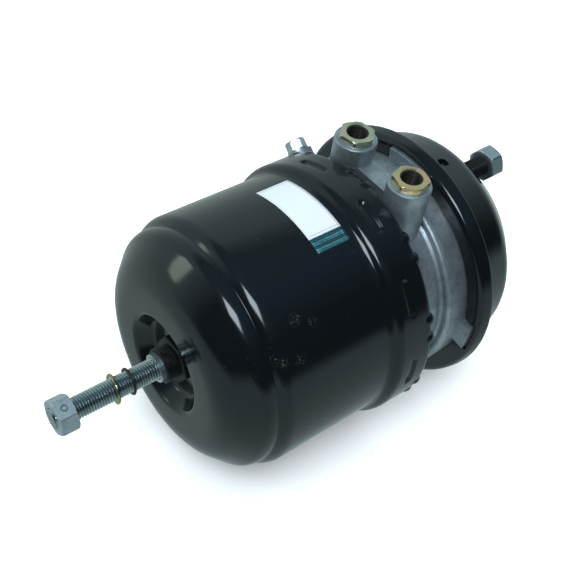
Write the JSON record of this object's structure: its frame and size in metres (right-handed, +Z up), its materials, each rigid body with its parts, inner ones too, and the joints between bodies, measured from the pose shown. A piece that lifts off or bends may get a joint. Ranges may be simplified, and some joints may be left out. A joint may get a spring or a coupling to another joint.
{
  "type": "air brake chamber",
  "caption": "Double air brake chamber with a crimped spring housing, cast centre flange with two ports, service housing, release bolt and push rod.",
  "frame": {"origin": "centre of the mounting face, on the chamber's axis", "axes": "+X runs along the axis from the release bolt out of the mounting face, the way the push rod pushes; +Z runs up through the ports"},
  "size_m": [0.3975, 0.2088, 0.22],
  "materials": {
    "black_paint": "gloss",
    "bright_zinc": "satin",
    "yellow_zinc": "satin",
    "cast_aluminium": "satin",
    "plain_steel": "satin",
    "spring_paint": "satin",
    "black_rubber": "matt",
    "guide_plastic": "matt"
  },
  "bodies": {
    "chamber": {"spring_housing": "black_paint", "neck_bush": "black_paint", "neck_washer": "bright_zinc", "centre_flange": "cast_aluminium", "spigot_o_ring": "black_rubber", "tube_guides": "guide_plastic", "tube_seal": "black_rubber", "port_adapters": "yellow_zinc", "port_seals": "black_rubber", "side_plug": "bright_zinc", "service_housing": "black_paint", "mounting_studs": "bright_zinc", "stud_nuts": "bright_zinc", "diaphragm": "black_rubber", "power_spring": "spring_paint", "return_spring": "spring_paint", "dust_boot": "black_rubber", "boot_ring": "plain_steel"},
    "piston": {"parking_piston": "cast_aluminium", "piston_lip_seal": "black_rubber", "piston_wear_ring": "guide_plastic", "piston_tube": "plain_steel", "tube_plunger": "plain_steel"},
    "push_rod": {"push_plate": "plain_steel", "push_rod": "plain_steel"},
    "bolt_carriage": {"bolt_thrust_ring": "plain_steel"},
    "bolt": {"release_bolt": "bright_zinc", "release_nut": "bright_zinc", "nut_pin": "plain_steel"},
    "bolt_o_ring": {"bolt_o_ring": "black_rubber"},
    "ring_washer": {"bolt_ring_washer": "yellow_zinc"}
  },
  "joints": [
    {"name": "bolt_carriage_slide", "type": "slide", "parent": "chamber", "child": "bolt_carriage", "axis": [1, 0, 0], "range_m": [0, 0.057]},
    {"name": "release_bolt_turn", "type": "hinge", "parent": "bolt_carriage", "child": "bolt", "pos_m": [-0.353, 0, 0], "axis": [1, 0, 0], "range_deg": [0, 10260]},
    {"name": "piston_slide", "type": "slide", "parent": "chamber", "child": "piston", "axis": [1, 0, 0], "range_m": [0, 0.057], "deforming": ["power_spring"]},
    {"name": "push_rod_slide", "type": "slide", "parent": "chamber", "child": "push_rod", "axis": [1, 0, 0], "range_m": [0, 0.057], "deforming": ["return_spring", "diaphragm", "dust_boot"]},
    {"name": "o_ring_slide", "type": "slide", "parent": "chamber", "child": "bolt_o_ring", "axis": [1, 0, 0], "range_m": [0, 0.019]},
    {"name": "ring_washer_slide", "type": "slide", "parent": "chamber", "child": "ring_washer", "axis": [1, 0, 0], "range_m": [0, 0.0281]}
  ],
  "couplings": [
    {"joint": "release_bolt_turn", "follows": "piston_slide", "rad_per_m": 3141.6},
    {"joint": "bolt_carriage_slide", "follows": "piston_slide", "ratio": 1},
    {"joint": "push_rod_slide", "follows": "piston_slide", "ratio": 1},
    {"joint": "o_ring_slide", "follows": "piston_slide", "ratio": 0.3333},
    {"joint": "ring_washer_slide", "follows": "piston_slide", "ratio": 0.4929}
  ]
}
